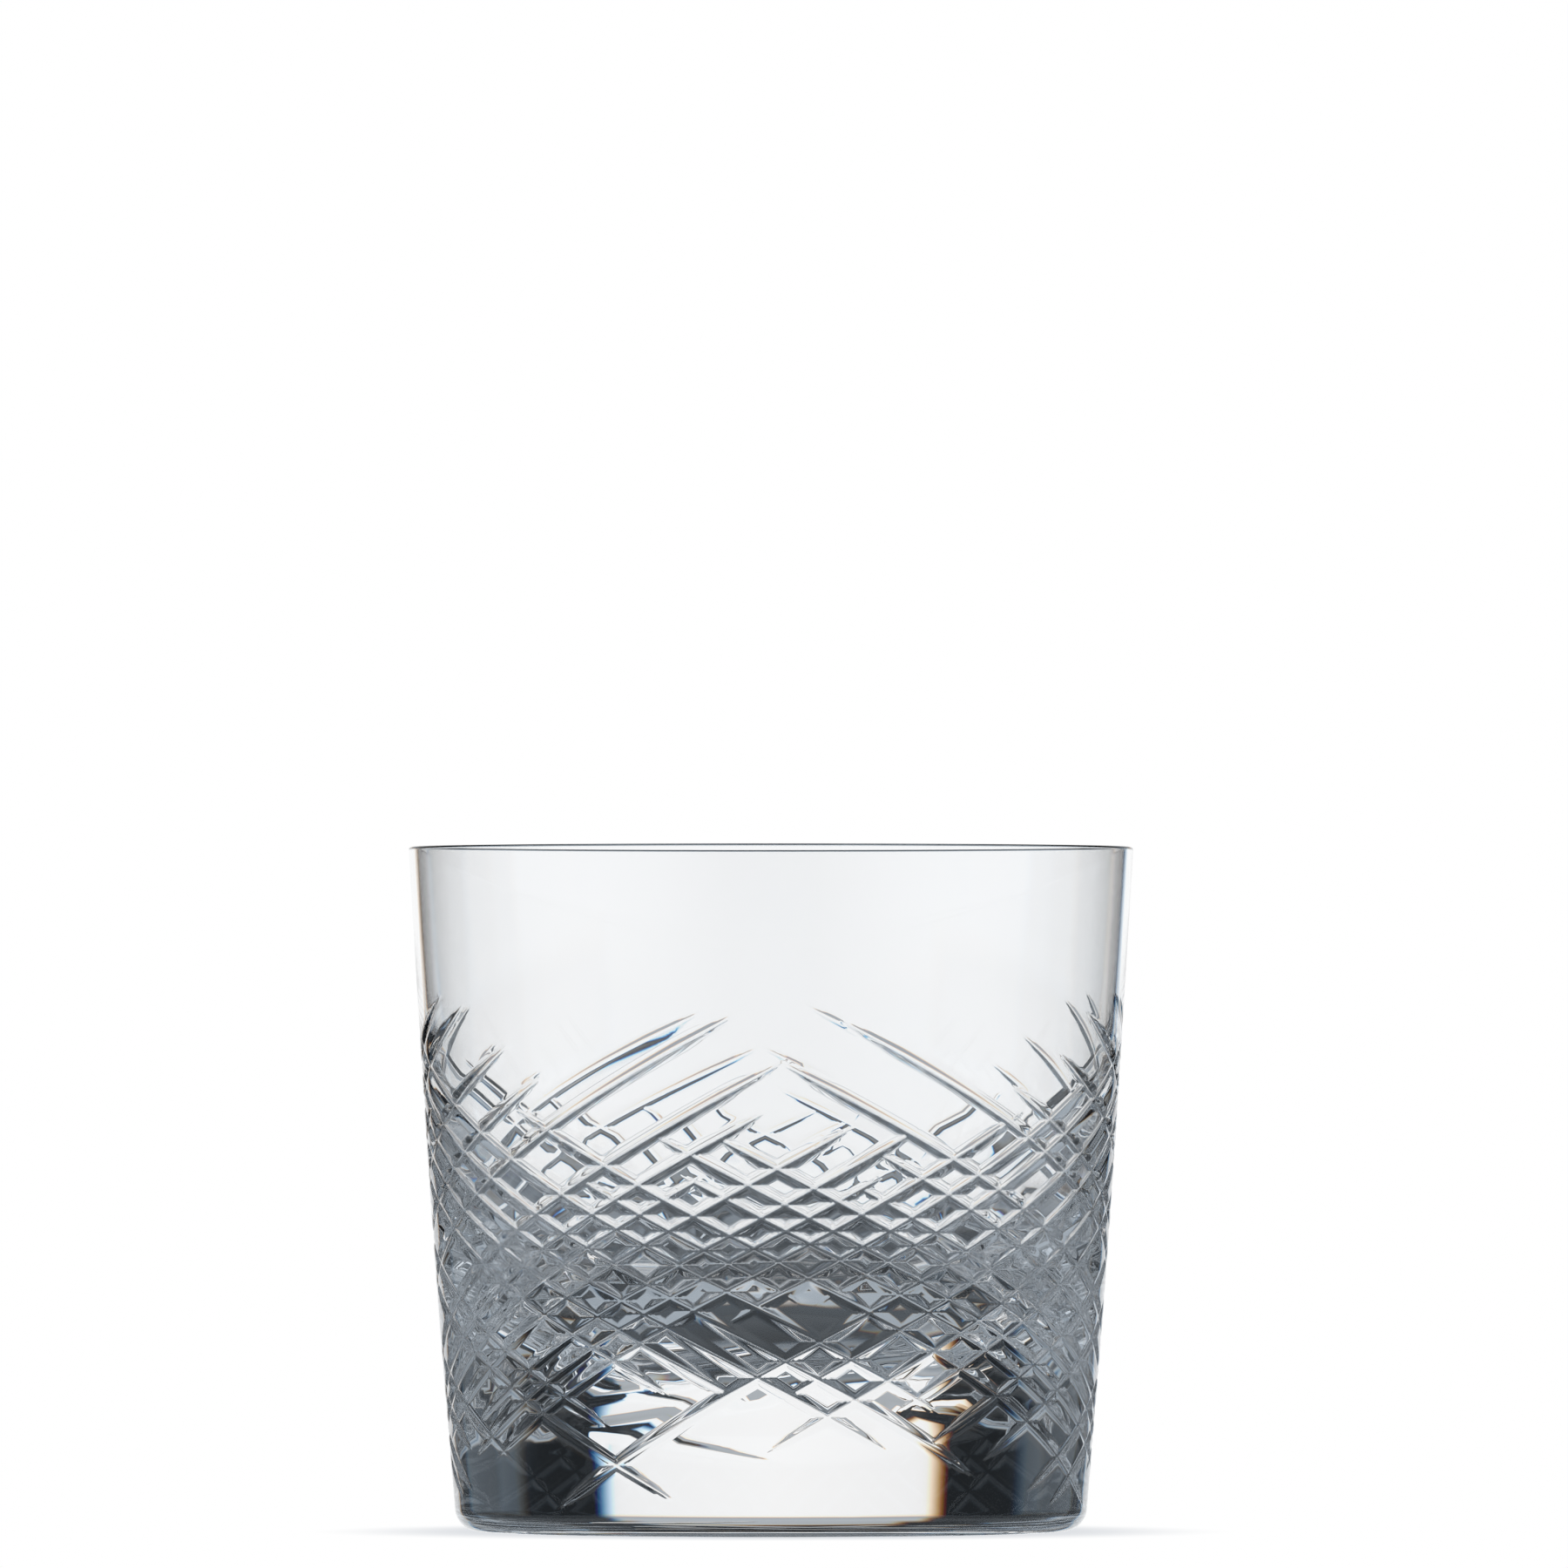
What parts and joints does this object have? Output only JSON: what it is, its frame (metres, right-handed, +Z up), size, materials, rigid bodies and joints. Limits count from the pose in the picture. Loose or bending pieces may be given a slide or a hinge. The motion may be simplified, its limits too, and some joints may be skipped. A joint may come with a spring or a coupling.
{
  "type": "whiskey tumbler",
  "caption": "Low whiskey tumbler in clear cut glass: thin straight rim, round-bottomed bowl, heavy solid base and a band of crossing V-cuts round the wall.",
  "frame": {"origin": "middle of the flat base, on the surface the glass stands on", "axes": "+Z up along the glass's own axis, -Y towards the front of the cut pattern, +X to the right of someone facing it"},
  "size_m": [0.089, 0.089, 0.084],
  "materials": {
    "clear_glass": "clear, colourless, polished inside, outside and in the cuts"
  },
  "bodies": {
    "root": {"tumbler_glass": "clear_glass"}
  },
  "joints": []
}
